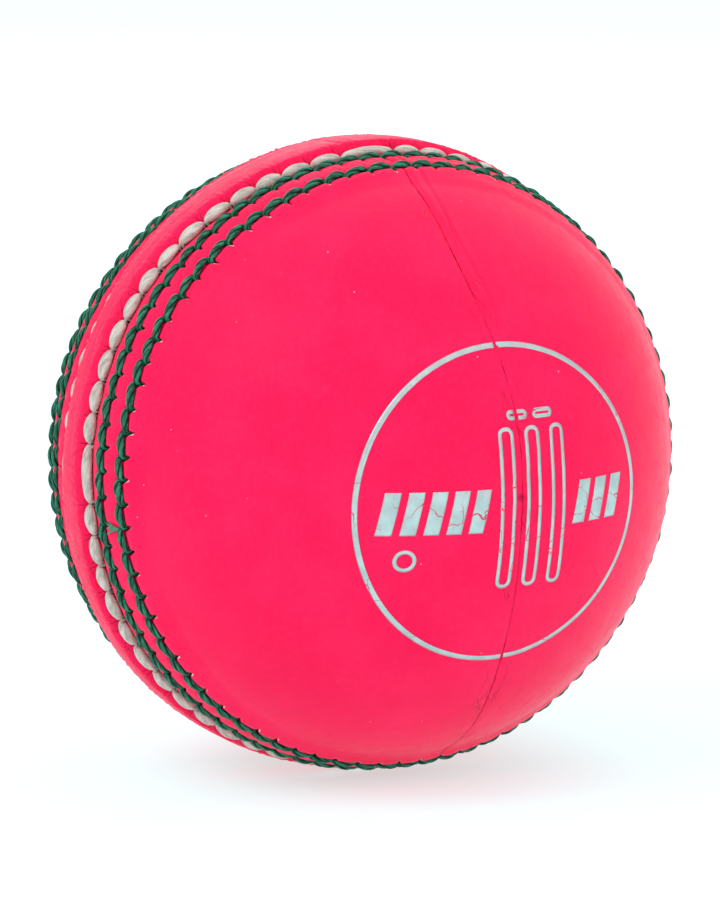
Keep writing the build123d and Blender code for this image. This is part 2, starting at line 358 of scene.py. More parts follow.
# ---- making meshes ----
def sheet(columns, rows):
    """A flat grid of faces, and how far each of its corners is along and across it, from 0 to 1."""
    bm = bmesh.new()
    bmesh.ops.create_grid(bm, x_segments=columns, y_segments=rows, size=1)
    mesh = bpy.data.meshes.new("sheet")
    bm.to_mesh(mesh)
    bm.free()
    spots = np.empty(len(mesh.vertices) * 3, np.float32)
    mesh.vertices.foreach_get("co", spots)
    spots = spots.reshape(-1, 3).astype(float)
    low, high = spots.min(axis=0), spots.max(axis=0)
    return mesh, (spots[:, 0] - low[0]) / (high[0] - low[0]), (spots[:, 1] - low[1]) / (high[1] - low[1])


def lay(mesh, points, uv=None, marks=None):
    """Moves a sheet's corners to their places in millimetres, with a UV map and named marks."""
    mesh.vertices.foreach_set("co", (np.asarray(points) * MM).astype(np.float32).ravel())
    corner_of = np.empty(len(mesh.loops), np.int32)
    mesh.loops.foreach_get("vertex_index", corner_of)
    if uv is not None:
        layer = mesh.uv_layers.new(name="work")
        layer.uv.foreach_set("vector", np.stack(uv, -1)[corner_of].astype(np.float32).ravel())
    for name, values in (marks or {}).items():
        layer = mesh.attributes.new(name, "FLOAT", "POINT")
        layer.data.foreach_set("value", np.asarray(values, np.float32))
    mesh.update()


def join_up(mesh, fill=False):
    """Welds a sheet's meeting edges, fills what is left open and turns its faces outwards."""
    bm = bmesh.new()
    bm.from_mesh(mesh)
    bmesh.ops.remove_doubles(bm, verts=bm.verts, dist=1.5e-6)
    bmesh.ops.dissolve_degenerate(bm, edges=bm.edges, dist=1e-7)
    if fill:
        edges = [e for e in bm.edges if e.is_boundary]
        for edge in edges:
            edge.smooth = False
        made = bmesh.ops.holes_fill(bm, edges=edges, sides=0)
        bmesh.ops.triangulate(bm, faces=made["faces"], quad_method="BEAUTY", ngon_method="EAR_CLIP")
    bmesh.ops.recalc_face_normals(bm, faces=bm.faces)
    bm.to_mesh(mesh)
    bm.free()


def piece(name, mesh, material, slot, *replaced):
    """Puts a finished mesh in the scene as a piece of the ball."""
    mesh.name = name
    mesh.shade_smooth()
    thing = bpy.data.objects.new(name, mesh)
    bpy.context.scene.collection.objects.link(thing)
    mesh.materials.append(material)
    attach(thing, "root")
    if replaced:
        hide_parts(*replaced)
    return thing


# ---- materials ----
class Finish:
    """One procedural material, and short words for the nodes that it is built from."""

    def __init__(self, name):
        self.material = bpy.data.materials.new(name)
        self.material.use_nodes = True
        self.tree = self.material.node_tree
        self.shader = self.tree.nodes["Principled BSDF"]
        self.place = self.node("ShaderNodeTexCoord").outputs["Object"]

    def node(self, kind, **settings):
        made = self.tree.nodes.new(kind)
        for key, value in settings.items():
            setattr(made, key, value)
        return made

    def put(self, socket, value):
        if isinstance(value, bpy.types.NodeSocket):
            self.tree.links.new(value, socket)
        elif isinstance(value, (tuple, list)) and len(value) == 3 and socket.type == "RGBA":
            socket.default_value = (*value, 1)
        else:
            socket.default_value = value

    def sum(self, operation, *values):
        made = self.node("ShaderNodeMath", operation=operation)
        for socket, value in zip(made.inputs, values):
            self.put(socket, value)
        return made.outputs[0]

    def times(self, *values):
        product = values[0]
        for value in values[1:]:
            product = self.sum("MULTIPLY", product, value)
        return product

    def plus(self, first, second):
        return self.sum("ADD", first, second)

    def blend(self, share, first, second):
        made = self.node("ShaderNodeMix", data_type="RGBA")
        self.put(made.inputs["Factor"], share)
        self.put(made.inputs[6], first)
        self.put(made.inputs[7], second)
        return made.outputs[2]

    def range(self, value, low, high, to_low=0.0, to_high=1.0):
        made = self.node("ShaderNodeMapRange", interpolation_type="SMOOTHSTEP")
        for socket, number in zip(made.inputs, (value, low, high, to_low, to_high)):
            self.put(socket, number)
        return made.outputs[0]

    def noise(self, scale, detail=3.0, rough=0.5, place=None, twist=0.0):
        made = self.node("ShaderNodeTexNoise")
        self.put(made.inputs["Vector"], self.place if place is None else place)
        for key, value in (("Scale", scale), ("Detail", detail), ("Roughness", rough), ("Distortion", twist)):
            self.put(made.inputs[key], value)
        return made.outputs["Fac"]

    def cells(self, scale, feature="F1", place=None):
        made = self.node("ShaderNodeTexVoronoi", feature=feature)
        self.put(made.inputs["Vector"], self.place if place is None else place)
        self.put(made.inputs["Scale"], scale)
        return made.outputs["Distance"]

    def mark(self, name):
        return self.node("ShaderNodeAttribute", attribute_name=name).outputs["Fac"]

    def work(self):
        """The two coordinates of the piece's own UV map, in millimetres."""
        split = self.node("ShaderNodeSeparateXYZ")
        self.put(split.inputs[0], self.node("ShaderNodeUVMap", uv_map="work").outputs[0])
        return split.outputs[0], split.outputs[1]

    def at(self, x, y, z=0.0):
        made = self.node("ShaderNodeCombineXYZ")
        for socket, value in zip(made.inputs, (x, y, z)):
            self.put(socket, value)
        return made.outputs[0]

    def shaken(self, reach):
        """Object coordinates shaken a little, so that a pattern's edges aren't straight."""
        shake = self.node("ShaderNodeTexNoise")
        self.put(shake.inputs["Vector"], self.place)
        self.put(shake.inputs["Scale"], 600)
        made = self.node("ShaderNodeVectorMath", operation="MULTIPLY_ADD")
        self.put(made.inputs[0], shake.outputs["Color"])
        made.inputs[1].default_value = (reach, reach, reach)
        self.put(made.inputs[2], self.place)
        return made.outputs[0]

    def bump(self, height, depth, under=None):
        made = self.node("ShaderNodeBump")
        self.put(made.inputs["Height"], height)
        self.put(made.inputs["Distance"], depth * MM)
        self.put(made.inputs["Strength"], 1.0)
        if under is not None:
            self.put(made.inputs["Normal"], under)
        return made.outputs[0]

    def set(self, **values):
        for key, value in values.items():
            self.put(self.shader.inputs[key.replace("_", " ")], value)
        return self.material


def cover_leather():
    f = Finish("cover_leather")
    crease_shade, raw, joint = f.mark("crease_shade"), f.mark("raw"), f.mark("joint")
    along, away = f.work()
    dye = f.noise(110, 3, 0.55)
    fine = f.noise(1500, 4, 0.65)
    colour = f.blend(f.range(dye, 0.35, 0.68), (0.93, 0.0085, 0.078), (0.97, 0.013, 0.092))
    colour = f.blend(f.range(fine, 0.45, 0.75, 0, 0.22), colour, (1.0, 0.035, 0.13))
    # dust and pinholes in the finish
    dust = f.times(f.range(f.cells(420), 0.045, 0.02), f.range(f.noise(260, 1), 0.52, 0.6))
    colour = f.blend(f.times(dust, 0.75), colour, (1.0, 0.45, 0.5))
    pin = f.times(f.range(f.cells(300), 0.05, 0.02), f.range(f.noise(150, 1), 0.6, 0.66))
    colour = f.blend(f.times(pin, 0.6), colour, (0.3, 0.0, 0.015))
    # the joint between two quarters, and the crazing beside it
    gap = f.sum("ABSOLUTE", joint)
    line = f.range(f.plus(gap, f.times(f.noise(900, 2), 0.2)), 0.17, 0.08)
    line = f.times(line, f.range(f.noise(230, 3, 0.6), 0.38, 0.6, 0.05, 0.9))
    drift = f.noise(240, 2)
    craze_at = f.at(f.plus(f.times(joint, 0.75), f.times(drift, 2.4)), f.times(away, 0.2))
    craze = f.times(
        f.range(f.cells(1.0, "DISTANCE_TO_EDGE", craze_at), 0.035, 0.0), f.range(gap, 3.0, 0.6),
        f.range(f.noise(130, 2), 0.45, 0.6), f.range(away, 12.0, 16.0),
    )
    # short hairlines across the ridge
    hair_at = f.at(f.plus(f.times(along, 0.26), drift), f.plus(f.times(away, 0.3), f.noise(520, 2)), 7.0)
    hair = f.times(
        f.range(f.cells(1.0, "DISTANCE_TO_EDGE", hair_at), 0.02, 0.0),
        f.range(f.noise(300, 2), 0.52, 0.6), f.range(away, 4.0, 3.0),
    )
    craze = f.sum("MAXIMUM", craze, hair)
    cracked = f.sum("MAXIMUM", line, f.times(craze, 0.6))
    # dark streaks that run along the ridge
    streak_at = f.at(f.times(along, 0.13), f.times(away, 2.4), 11.0)
    streaks = f.range(f.noise(1.0, 4, 0.6, streak_at, 0.5), 0.52, 0.72, 0, 0.38)
    streaks = f.times(streaks, f.range(away, 4.0, 2.8))
    colour = f.blend(streaks, colour, (0.5, 0.0, 0.03))
    colour = f.blend(f.times(cracked, 0.85), colour, (0.3, 0.0, 0.02))
    # painted shade: near black in the holes, slits and puckers' folds; the same mark darkens the parting line
    # and the joint creases
    colour = f.blend(f.range(crease_shade, 0.15, 0.9, 0, 0.93), colour, (0.1, 0.0, 0.008))
    colour = f.blend(f.range(raw, 0.28, 0.62), colour, (0.85, 0.68, 0.64))
    rough = f.plus(f.range(f.noise(700, 3, 0.7), 0.3, 0.75, 0.34, 0.46), f.times(crease_shade, 0.25))
    # grain, then the long fine wrinkles of the stretched ridge, then the cracks
    pores = f.plus(f.times(f.cells(1700, "SMOOTH_F1"), 0.5), f.times(f.noise(3200, 3, 0.6), 0.5))
    normal = f.bump(pores, 0.022)
    ridge = f.range(away, 4.2, 3.2)
    wrinkle_at = f.at(f.times(along, 0.16), f.times(away, 1.5), 3.0)
    wrinkles = f.times(f.noise(1.0, 4, 0.65, wrinkle_at, 0.4), ridge)
    normal = f.bump(wrinkles, 0.16, normal)
    normal = f.bump(f.noise(330, 3, 0.5), 0.03, normal)
    normal = f.bump(f.sum("SUBTRACT", 1.0, cracked), 0.07, normal)
    return f.set(
        Base_Color=colour, Roughness=rough, Normal=normal,
        Specular_IOR_Level=0.08, Specular_Tint=(1.0, 0.45, 0.55),
        Coat_Weight=0.02, Coat_Roughness=0.22, Sheen_Weight=0.0,
    )


def row_thread_finish():
    f = Finish("row_thread")
    valley = f.mark("valley")
    along, around = f.work()
    strands = f.at(f.times(along, 0.8), f.times(around, 9.0), 1.0)
    fibre = f.noise(1.0, 5, 0.7, strands, 0.3)
    colour = f.blend(f.range(fibre, 0.36, 0.64), (0.001, 0.03, 0.018), (0.035, 0.29, 0.17))
    colour = f.blend(f.range(f.noise(330, 2), 0.35, 0.7, 0, 0.5), colour, (0.006, 0.12, 0.07))
    # painted shade in the creases between the plies
    colour = f.blend(f.range(valley, 0.25, 0.9), colour, (0.001, 0.016, 0.011))
    fluff_at = f.at(f.times(along, 1.7), f.times(around, 22.0), 5.0)
    fluff = f.range(f.noise(1.0, 3, 0.6, fluff_at), 0.62, 0.75)
    colour = f.blend(f.times(fluff, 0.6), colour, (0.22, 0.48, 0.35))
    colour = f.blend(f.times(f.mark("loose"), 0.75), colour, (0.1, 0.36, 0.22))
    return f.set(
        Base_Color=colour, Roughness=0.62, Normal=f.bump(fibre, 0.12),
        Specular_IOR_Level=0.2, Sheen_Weight=0.0,
    )


def closing_thread_finish():
    f = Finish("closing_thread")
    along, around = f.work()
    strands = f.at(f.times(along, 0.55), f.times(around, 7.5), 2.0)
    fibre = f.noise(1.0, 5, 0.72, strands, 0.5)
    colour = f.blend(f.range(fibre, 0.28, 0.7), (0.3, 0.26, 0.23), (0.66, 0.61, 0.56))
    colour = f.blend(f.range(f.noise(420, 3), 0.5, 0.72, 0, 0.35), colour, (0.62, 0.5, 0.42))
    stain = f.times(f.range(f.cells(500), 0.06, 0.02), f.range(f.noise(180, 1), 0.55, 0.6))
    colour = f.blend(stain, colour, (0.25, 0.08, 0.04))
    # painted shade in the creases between the plies
    colour = f.blend(f.range(f.mark("valley"), 0.2, 1.0, 0, 0.8), colour, (0.16, 0.1, 0.08))
    return f.set(
        Base_Color=colour, Roughness=0.85, Normal=f.bump(fibre, 0.11), Specular_IOR_Level=0.2,
        Sheen_Weight=0.2, Sheen_Roughness=0.6,
    )


def foil_finish():
    f = Finish("foil")
    worn = f.range(f.noise(1300, 4, 0.7), 0.66, 0.72)
    crackle = f.range(f.cells(260, "DISTANCE_TO_EDGE", f.shaken(0.0022)), 0.018, 0.008)
    crackle = f.times(crackle, f.range(f.noise(160, 2), 0.5, 0.62))
    bare = f.sum("MAXIMUM", worn, crackle)
    colour = f.blend(f.range(f.noise(500, 3), 0.35, 0.7), (0.43, 0.5, 0.51), (0.52, 0.59, 0.6))
    colour = f.blend(bare, colour, (0.55, 0.05, 0.1))
    metal = f.range(bare, 0.2, 0.8, 0.9, 0.0)
    return f.set(
        Base_Color=colour, Metallic=metal, Roughness=f.range(f.noise(800, 3), 0.3, 0.7, 0.3, 0.5),
        Normal=f.bump(f.noise(900, 3), 0.03),
    )


def cork_finish():
    f = Finish("cork")
    grains = f.cells(420, "F1", f.shaken(0.001))
    colour = f.blend(f.range(f.noise(260, 4, 0.6), 0.3, 0.7), (0.36, 0.19, 0.09), (0.62, 0.4, 0.22))
    colour = f.blend(f.range(grains, 0.55, 0.9, 0, 0.6), colour, (0.2, 0.09, 0.04))
    colour = f.blend(f.range(f.noise(900, 2), 0.62, 0.7, 0, 0.8), colour, (0.09, 0.04, 0.02))
    grit = f.noise(700, 5, 0.7)
    return f.set(Base_Color=colour, Roughness=0.9, Normal=f.bump(grit, 0.25), Specular_IOR_Level=0.2)


def yarn_finish():
    f = Finish("yarn")
    split = f.node("ShaderNodeSeparateXYZ")
    f.put(split.inputs[0], f.place)
    x, y, z = split.outputs
    # strands laid in three directions, one over another
    lays = []
    for first, second, third in ((0.8, 0.5, 0.3), (-0.4, 0.8, 0.5), (0.3, -0.6, 0.75)):
        lean = f.plus(f.plus(f.times(x, first), f.times(y, second)), f.times(z, third))
        lays.append(f.sum("ABSOLUTE", f.sum("SINE", f.times(lean, 4200.0))))
    patch = f.noise(130, 1)
    height = f.blend(f.range(patch, 0.42, 0.46), lays[0], lays[1])
    height = f.blend(f.range(patch, 0.55, 0.59), height, lays[2])
    # painted shade: the colour follows the strands' height, darkest in the grooves between them
    colour = f.blend(height, (0.34, 0.27, 0.17), (0.82, 0.74, 0.6))
    colour = f.blend(f.range(f.noise(2500, 3), 0.5, 0.8, 0, 0.5), colour, (0.6, 0.5, 0.36))
    return f.set(
        Base_Color=colour, Roughness=0.92, Normal=f.bump(height, 0.3),
        Specular_IOR_Level=0.15, Sheen_Weight=0.3,
    )


def lining_finish():
    f = Finish("lining_leather")
    nap = f.noise(1600, 5, 0.75)
    colour = f.blend(f.range(nap, 0.3, 0.7), (0.3, 0.17, 0.09), (0.56, 0.37, 0.23))
    return f.set(
        Base_Color=colour, Roughness=0.88, Normal=f.bump(nap, 0.12),
        Specular_IOR_Level=0.2, Sheen_Weight=0.2,
    )


def hidden_thread_finish():
    f = Finish("hidden_thread")
    fibre = f.noise(2400, 4, 0.7)
    colour = f.blend(f.range(fibre, 0.3, 0.7), (0.42, 0.34, 0.24), (0.72, 0.64, 0.5))
    return f.set(Base_Color=colour, Roughness=0.6, Normal=f.bump(fibre, 0.06), Specular_IOR_Level=0.4)


# ---- the four leather quarters ----
SEAM_QUARTER_ARC = np.pi / 2 * BALL
SEWN_WIDTH = 15
HAIR = 0.012  # the gap that a cut edge keeps from its neighbour


def stations():
    """Distances from the parting line at which the cover's section is drawn, closest at the sewing."""
    near_seam = [
        np.arange(start, end, step) for start, end, step in (
            (0, 0.5, 0.1), (0.5, 1.5, 0.25), (1.5, 5.2, 0.14), (5.2, 6.0, 0.2),
            (6.0, 8.2, 0.13), (8.2, 9.7, 0.27), (9.7, 11.9, 0.13), (11.9, SEWN_WIDTH, 0.36),
        )
    ]
    rest = SEWN_WIDTH + (SEAM_QUARTER_ARC - SEWN_WIDTH) * (np.linspace(0, 1, 50) ** 1.15)
    return np.concatenate(near_seam + [rest])


def columns_across(count):
    """Shares of the half turn, drawn closer at both joints."""
    ends = np.cumsum(np.linspace(0.07, 0.17, 14))
    ends = np.concatenate([[0], ends]) / (2 * SEAM_QUARTER_ARC)
    middle = np.linspace(ends[-1], 1 - ends[-1], count + 1 - 2 * (len(ends) - 1))
    return np.concatenate([ends[:-1], middle, 1 - ends[::-1][1:]])


def leather_quarter(node, side, half, material):
    """One quarter: its outside with all the sewing's relief, its smooth inside and its cut edges."""
    arcs = stations()
    wall, inside, columns = 4, 14, 640  # rows of the cut edge, rows of the inside, and columns
    rows = len(arcs) - 1 + wall + inside
    mesh, u, v = sheet(columns, rows)
    turn_share = np.interp(np.round(u * columns), np.arange(columns + 1), columns_across(columns))
    row = np.round(v * rows).astype(int)
    outside = (row >= wall) & (row < wall + len(arcs))
    arc = np.zeros(len(row))
    arc[outside] = arcs[row[outside] - wall]
    back = row >= wall + len(arcs)
    arc[back] = SEAM_QUARTER_ARC * (1 - (row[back] - wall - len(arcs)) / (inside - 1))
    local_angle = np.radians(180 * (turn_share - 1) if half < 0 else 180 * turn_share)
    tilt = arc / BALL
    out = np.cos(tilt)
    local = np.stack([np.sin(tilt), out * np.sin(local_angle), out * np.cos(local_angle)], -1)
    at_pole = arc >= SEAM_QUARTER_ARC - 1e-6
    local[at_pole] = (1, 0, 0)
    s = BALL * np.arctan2(local[:, 2], local[:, 0])
    local[:, 1] += joint_line(side, s) / BALL * (1 - np.abs(local[:, 1])) ** 2
    local /= np.linalg.norm(local, axis=1, keepdims=True)
    world = local @ CUP_TURNS[side].T
    # the cups meet off the middle of the ridge
    angle = np.degrees(np.arctan2(world[:, 1], world[:, 2]))
    at_seam = 1 - smooth(0, 3.0, np.abs(world[:, 0]) * BALL)
    shift = (parting_line(angle) + HAIR * side) * at_seam
    world[:, 0] += shift / BALL
    points, marks = on_cover(world, side)
    marks["joint"] = np.where(outside, marks["joint"], 9)
    flat = world / np.linalg.norm(world, axis=1, keepdims=True)
    # the cut edge stands back from its neighbour by a hair
    at_cut = (turn_share < 1e-9) | (turn_share > 1 - 1e-9)
    hair = HAIR * half * at_cut
    points += hair[:, None] * CUP_TURNS[side][:, 1]
    depth = np.where(row < wall, row / wall, 1.0)
    top = np.linalg.norm(points, axis=1)
    radius = LEATHER_INSIDE + (top - LEATHER_INSIDE) * depth
    radius[back] = LEATHER_INSIDE
    low = row < wall
    points[low] = flat[low] * radius[low][:, None]
    points[back] = flat[back] * LEATHER_INSIDE
    work = (np.radians(angle) * BALL, np.abs(world[:, 0] * BALL))
    lay(mesh, points, work, marks)
    join_up(mesh, fill=True)
    return piece(node, mesh, material, "cover_leather", node)


# ---- threads ----
def tube(centre, width, height, outline, lay_length, around):
    """A thread along a closed line, with the section of its twisted plies."""
    count = len(centre)
    mesh, u, v = sheet(count, around)
    index = np.round(u * count).astype(int) % count
    forward = np.roll(centre, -1, axis=0) - np.roll(centre, 1, axis=0)
    forward /= np.linalg.norm(forward, axis=1, keepdims=True)
    side = np.cross(forward, centre)
    side /= np.linalg.norm(side, axis=1, keepdims=True)
    rise = np.cross(side, forward)
    steps = np.linalg.norm(np.roll(centre, -1, axis=0) - centre, axis=1)
    travelled = np.concatenate([[0], np.cumsum(steps)[:-1]])
    whole_turns = np.round(steps.sum() / lay_length)
    twist = 2 * np.pi * whole_turns * travelled / steps.sum()
    turn = 2 * np.pi * (np.round(v * around) % around) / around
    shape = outline(turn + twist[index])
    reach = side[index] * (width[index] * np.cos(turn) * shape)[:, None]
    reach += rise[index] * (height[index] * np.sin(turn) * shape)[:, None]
    along = np.append(travelled, steps.sum())[np.round(u * count).astype(int)]
    lay_uv = (along, np.round(v * around) / around + along / lay_length)
    # valley marks the creases between the plies, where the thread finishes paint shade
    lay(mesh, centre[index] + reach, lay_uv, {"valley": (1 - shape) * 3.2, "loose": 0 * shape})
    return mesh


def open_tube(line, radii, around=6):
    """A fibre with two ends, closed at both."""
    count = len(line)
    mesh, u, v = sheet(count - 1, around)
    index = np.round(u * (count - 1)).astype(int)
    forward = np.gradient(line, axis=0)
    side = np.cross(forward, line)
    side /= np.linalg.norm(side, axis=1, keepdims=True)
    rise = np.cross(side, forward)
    rise /= np.linalg.norm(rise, axis=1, keepdims=True)
    turn = 2 * np.pi * (np.round(v * around) % around) / around
    reach = side[index] * np.cos(turn)[:, None] + rise[index] * np.sin(turn)[:, None]
    nothing = np.zeros(len(index))
    marks = {"valley": nothing, "loose": nothing + 1}
    lay(mesh, line[index] + reach * radii[index][:, None], (u * 3, turn / 6), marks)
    join_up(mesh, fill=True)
    return mesh


def frayed_end(row):
    """The cut end of a plain row's thread, fanned out over the leather towards the ridge."""
    draw = rng(91)
    share = np.linspace(0, 1, 7)
    fibres = []
    for lean in np.linspace(-1, 1, LOOSE_FIBRES):
        lean = lean + draw.normal(0, 0.12)
        length = draw.uniform(1.2, 1.9)
        x = row_line(row, LOOSE_AT) + ROW_LEAN[1] - length * share
        angle = LOOSE_AT + 1.2 * lean * share**1.2
        lift = 0.12 + draw.uniform(0.05, 0.45) * share + 0.12 * np.sin(np.pi * share)
        line = on_ball(x, angle, BALL + BAND_HEIGHT + lift)
        fibres.append(open_tube(line, 0.085 * (1 - 0.65 * share**2)))
    return fibres


def gathered(name, meshes):
    """Several meshes as one."""
    bm = bmesh.new()
    for mesh in meshes:
        bm.from_mesh(mesh)
        bpy.data.meshes.remove(mesh)
    whole = bpy.data.meshes.new(name)
    bm.to_mesh(whole)
    bm.free()
    return whole


def plies(number, deep):
    """The outline of a thread of so many plies: bulges with creases between them."""

    def outline(turn):
        part = (turn * number / (2 * np.pi)) % 1
        return 1 - deep * (np.abs(2 * part - 1) ** 3.0)

    return outline


def on_ball(x, angle, radius):
    """Points at x on spheres of the given radius, by their angle round the seam."""
    around = np.sqrt(np.maximum(radius**2 - x**2, 0))
    turn = np.radians(angle)
    return np.stack([x * np.ones_like(around), around * np.sin(turn), around * np.cos(turn)], -1)


def row_thread(side, place, material):
    """A plain row: slanting stitches that come up at one end of a slit and go down at the other."""
    row = ROWS[side, place]
    shown, under = 15, 5  # stations on the leather and under it
    share = (np.arange(shown) + 0.5) / shown
    gaps = np.diff(np.append(row["holes"], row["holes"][0] + 360))
    xs, angles, heights, fullness = [], [], [], []
    for n in range(ROW_COUNT):
        lean = row["lean"][n]
        eased = share - 0.06 * np.sin(2 * np.pi * share)
        reach = 0.02 + 0.98 * share
        x = ROW_LEAN[0] + lean + (ROW_LEAN[1] - ROW_LEAN[0]) * eased + 0.06 * np.sin(np.pi * share)
        arch = np.sin(np.pi * (0.03 + 0.94 * share)) ** 0.32
        xs.append(x)
        angles.append(row["holes"][n] + gaps[n] * reach)
        heights.append(-0.36 + 0.54 * arch)
        fullness.append(row["plump"][n] * (0.5 + 0.5 * np.sin(np.pi * (0.08 + 0.84 * share))))
        down = (np.arange(under) + 0.5) / under
        next_lean = row["lean"][(n + 1) % ROW_COUNT]
        xs.append(ROW_LEAN[1] + lean + (ROW_LEAN[0] + next_lean - ROW_LEAN[1] - lean) * down)
        angles.append(row["holes"][n] + gaps[n] * (1 + 0.02 * down))
        heights.append(-0.6 - 0.5 * np.sin(np.pi * down))
        fullness.append(np.full(under, 0.62))
    angles = np.concatenate(angles)
    x = row_line(row, angles) + np.concatenate(xs)
    radius = BALL + BAND_HEIGHT + np.concatenate(heights)
    centre = on_ball(side * x, angles, radius)
    full = np.concatenate(fullness) * ROW_THREAD_RADIUS
    mesh = tube(centre, full * 1.08, full * 0.86, plies(3, 0.42), 5.6 * side, around=24)
    join_up(mesh)
    name = f"{'right' if side > 0 else 'left'}_cup_{place}_row_thread"
    if (side, place) == (1, "outer"):
        mesh = gathered(name, [mesh] + frayed_end(row))
    return piece(name, mesh, material, "row_thread", name)


def closing_thread(name, first_side, material):
    """One pass of the saddle stitch. It swells between its holes and crosses under the parting line."""
    holes = CLOSING_HOLES
    gaps = np.diff(np.append(holes, holes[0] + 360))
    shown, under = 26, 12  # stations on the leather and under it
    parts = {key: [] for key in ("x", "angle", "radius", "wide", "tall")}
    side = first_side
    # the two passes keep to their own side of each hole, and of each other where they cross
    lift = 0.55 * first_side
    for n in range(len(holes)):
        share = (np.arange(shown) + 0.5) / shown
        index = np.full(shown, n)
        half = stitch_half_width(side, index, share, np.full(shown, gaps[n]))
        angle = holes[n] + gaps[n] * (0.045 + 0.91 * share)
        arch = np.sin(np.pi * share) ** 0.3
        x = closing_line(angle) + 0.1 * (0.5 - share)
        parts["x"].append(side * x)
        parts["angle"].append(angle)
        sunk = 0.0 if side > 0 else 0.45
        parts["radius"].append(BALL - 0.08 - sunk + 0.36 * arch + 0.3 * proud(angle))
        parts["wide"].append(0.24 + half * 0.84)
        parts["tall"].append(0.2 + half * 0.55)
        down = (np.arange(under) + 0.5) / under
        swing = np.cos(np.pi * down)
        hole = holes[n] + gaps[n]
        spread = np.degrees(0.3 / BALL)
        parts["x"].append(side * closing_line(hole) * swing)
        parts["angle"].append(hole - spread + 2 * spread * down)
        deep = np.sin(np.pi * down) ** 0.8
        parts["radius"].append(BALL - 0.5 - (2.3 + lift) * deep)
        parts["wide"].append(np.full(under, 0.3))
        parts["tall"].append(np.full(under, 0.3))
        side = -side
    joined = {key: np.concatenate(value) for key, value in parts.items()}
    centre = on_ball(joined["x"], joined["angle"], joined["radius"])
    mesh = tube(centre, joined["wide"], joined["tall"], plies(5, 0.09), 15.0, around=22)
    join_up(mesh)
    return piece(name, mesh, material, "closing_thread", name)


# ---- the foil stamp ----
STAMP_TURN = np.radians((3.9, 2.0))  # how far the stamp sits off the pole, round Z and round Y
RING = (17.9, 0.55)  # radius and line width
WICKET_MIDDLE = 2.4
STUMP = (1.9, 18.0, 3.3)  # width, height and pitch
BAIL = (2.6, 1.1, 0.7)  # width, height and gap over the stumps
OUTLINE = 0.42  # line width of the wicket and the spot
BAR = (1.7, 4.8, 0.8, 12)  # width, height, gap and slant in degrees
BARS = {-1: 5, 1: 3}  # how many bars there are on each side of the wicket
BAR_MARGIN = 1.6
SPOT = (-12.4, -5.3, 1.25)  # middle and radius
FILM_LIFT = 0.035


def rounded_loop(width, height, corner, step=0.25):
    """Points round a rounded oblong, evenly spaced and anticlockwise."""
    corners = []
    for n, (sx, sy) in enumerate(((1, 1), (-1, 1), (-1, -1), (1, -1))):
        turn = np.radians(np.linspace(0, 90, 9) + 90 * n)
        x = sx * (width / 2 - corner) + corner * np.cos(turn)
        y = sy * (height / 2 - corner) + corner * np.sin(turn)
        corners.append(np.stack([x, y], -1))
    line = np.concatenate(corners + [corners[0][:1]])
    lengths = np.concatenate([[0], np.cumsum(np.linalg.norm(np.diff(line, axis=0), axis=1))])
    spots = np.linspace(0, lengths[-1], max(12, int(lengths[-1] / step)) + 1)
    return np.stack([np.interp(spots, lengths, line[:, n]) for n in (0, 1)], -1)


def pressed(flat):
    """Presses a flat drawing, seen from outside the stamped pole, on to the leather."""
    out = np.sqrt(BALL**2 - flat[:, 0] ** 2 - flat[:, 1] ** 2)
    points = np.stack([out, flat[:, 0], flat[:, 1]], -1)
    yaw, pitch = STAMP_TURN
    turn_z = np.array([[np.cos(yaw), -np.sin(yaw), 0], [np.sin(yaw), np.cos(yaw), 0], [0, 0, 1]])
    turn_y = np.array([[np.cos(pitch), 0, np.sin(pitch)], [0, 1, 0], [-np.sin(pitch), 0, np.cos(pitch)]])
    seated, marks = on_cover(points @ (turn_y @ turn_z).T, 1)
    lengths = np.linalg.norm(seated, axis=1, keepdims=True)
    return seated * (1 + FILM_LIFT / lengths), marks["joint"]


def foil_ribbon(line, width, middle):
    """A strip of foil along a line that closes on itself."""
    mesh, u, v = sheet(len(line) - 1, max(2, int(round(width / 0.2))))
    index = np.round(u * (len(line) - 1)).astype(int)
    forward = np.gradient(line, axis=0)
    forward[0] = forward[-1] = line[1] - line[-2]
    forward /= np.linalg.norm(forward, axis=1, keepdims=True)
    outward = np.stack([forward[:, 1], -forward[:, 0]], -1)
    spots = line[index] + outward[index] * ((v - 1) * width)[:, None] + np.array(middle)
    return mesh, spots


def foil_bar(middle):
    mesh, u, v = sheet(8, 20)
    width, height, _, slant = BAR
    rise = (v - 0.5) * height
    return mesh, np.stack([middle + (u - 0.5) * width + rise * np.tan(np.radians(slant)), rise], -1)


